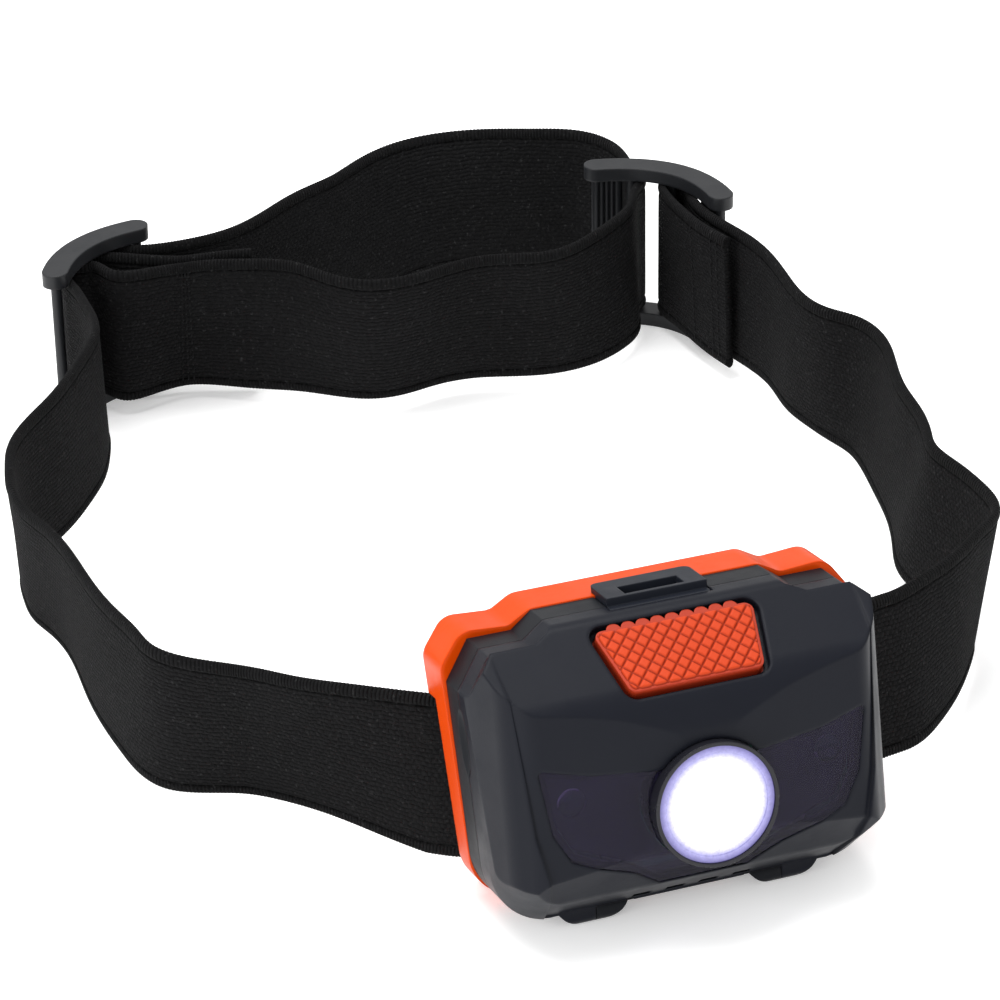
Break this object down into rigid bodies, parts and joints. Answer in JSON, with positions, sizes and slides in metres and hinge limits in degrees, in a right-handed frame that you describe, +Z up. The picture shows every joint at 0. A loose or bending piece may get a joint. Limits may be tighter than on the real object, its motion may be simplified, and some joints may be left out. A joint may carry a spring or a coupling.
{
  "type": "headlamp",
  "caption": "Tilting battery headlamp with a smoked lens window, a push button and an opening battery case, on an adjustable webbing head strap.",
  "frame": {"origin": "on the surface it stands on, under the middle of the overall footprint", "axes": "-Y the way the light shines, +X to the right of someone facing the lamp, +Z up"},
  "size_m": [0.1454, 0.2194, 0.044],
  "materials": {
    "webbing": "matte woven",
    "buckle_plastic": "satin",
    "orange_plastic": "satin gloss",
    "cover_plastic": "fine grain",
    "shell_plastic": "satin",
    "pin_steel": "ground",
    "contact_steel": "plated",
    "screw_steel": "zinc plated",
    "seal_rubber": "matte",
    "smoked_window": "polished, smoked",
    "ring_plastic": "gloss",
    "clear_lens": "polished, ringed",
    "spreader": "milled",
    "white_light": "phosphor face",
    "red_light": "polished",
    "carrier_plastic": "matte",
    "board": "solder mask",
    "small_parts": "moulded",
    "button_rubber": "matte, diamond relief",
    "cell_can": "printed sleeve, no text"
  },
  "bodies": {
    "strap": {"bracket": "orange_plastic", "head_strap": "webbing", "slider_buckle": "buckle_plastic", "ring_buckle": "buckle_plastic", "tilt_pin": "pin_steel"},
    "rear_case": {"rear_cover": "cover_plastic", "cover_seal": "seal_rubber", "housing_pins": "pin_steel", "contact_springs": "contact_steel", "contact_plates": "contact_steel", "cell_bottom": "cell_can", "cell_middle": "cell_can", "cell_top": "cell_can"},
    "housing": {"front_shell": "shell_plastic", "latch_pin": "pin_steel", "light_bezel": "carrier_plastic", "window": "smoked_window", "lens_ring": "ring_plastic", "main_lens": "clear_lens", "heat_spreader": "spreader", "main_led": "white_light", "side_light_right": "red_light", "side_light_left": "red_light", "light_carrier": "carrier_plastic", "circuit_board": "board", "carrier_screws": "screw_steel", "driver_parts": "small_parts", "push_switch": "small_parts"},
    "latch": {"latch": "cover_plastic"},
    "button": {"button": "button_rubber"}
  },
  "joints": [
    {"name": "lamp_tilt", "type": "hinge", "parent": "strap", "child": "rear_case", "pos_m": [-0.00296, -0.09104, 0.00252], "axis": [1, 0, 0], "range_deg": [0, 60]},
    {"name": "housing_open", "type": "hinge", "parent": "rear_case", "child": "housing", "pos_m": [-0.00296, -0.09635, 0.0016], "axis": [1, 0, 0], "range_deg": [0, 80]},
    {"name": "latch_lift", "type": "hinge", "parent": "housing", "child": "latch", "pos_m": [-0.00296, -0.08661, 0.04237], "axis": [1, 0, 0], "range_deg": [0, 20], "stiffness_Nm_per_rad": 0.02, "springref_deg": -5.73},
    {"name": "button_press", "type": "slide", "parent": "housing", "child": "button", "axis": [0, 0.4179, -0.9085], "range_m": [0, 0.0008], "stiffness_N_per_m": 800, "springref_m": -0.0004}
  ]
}
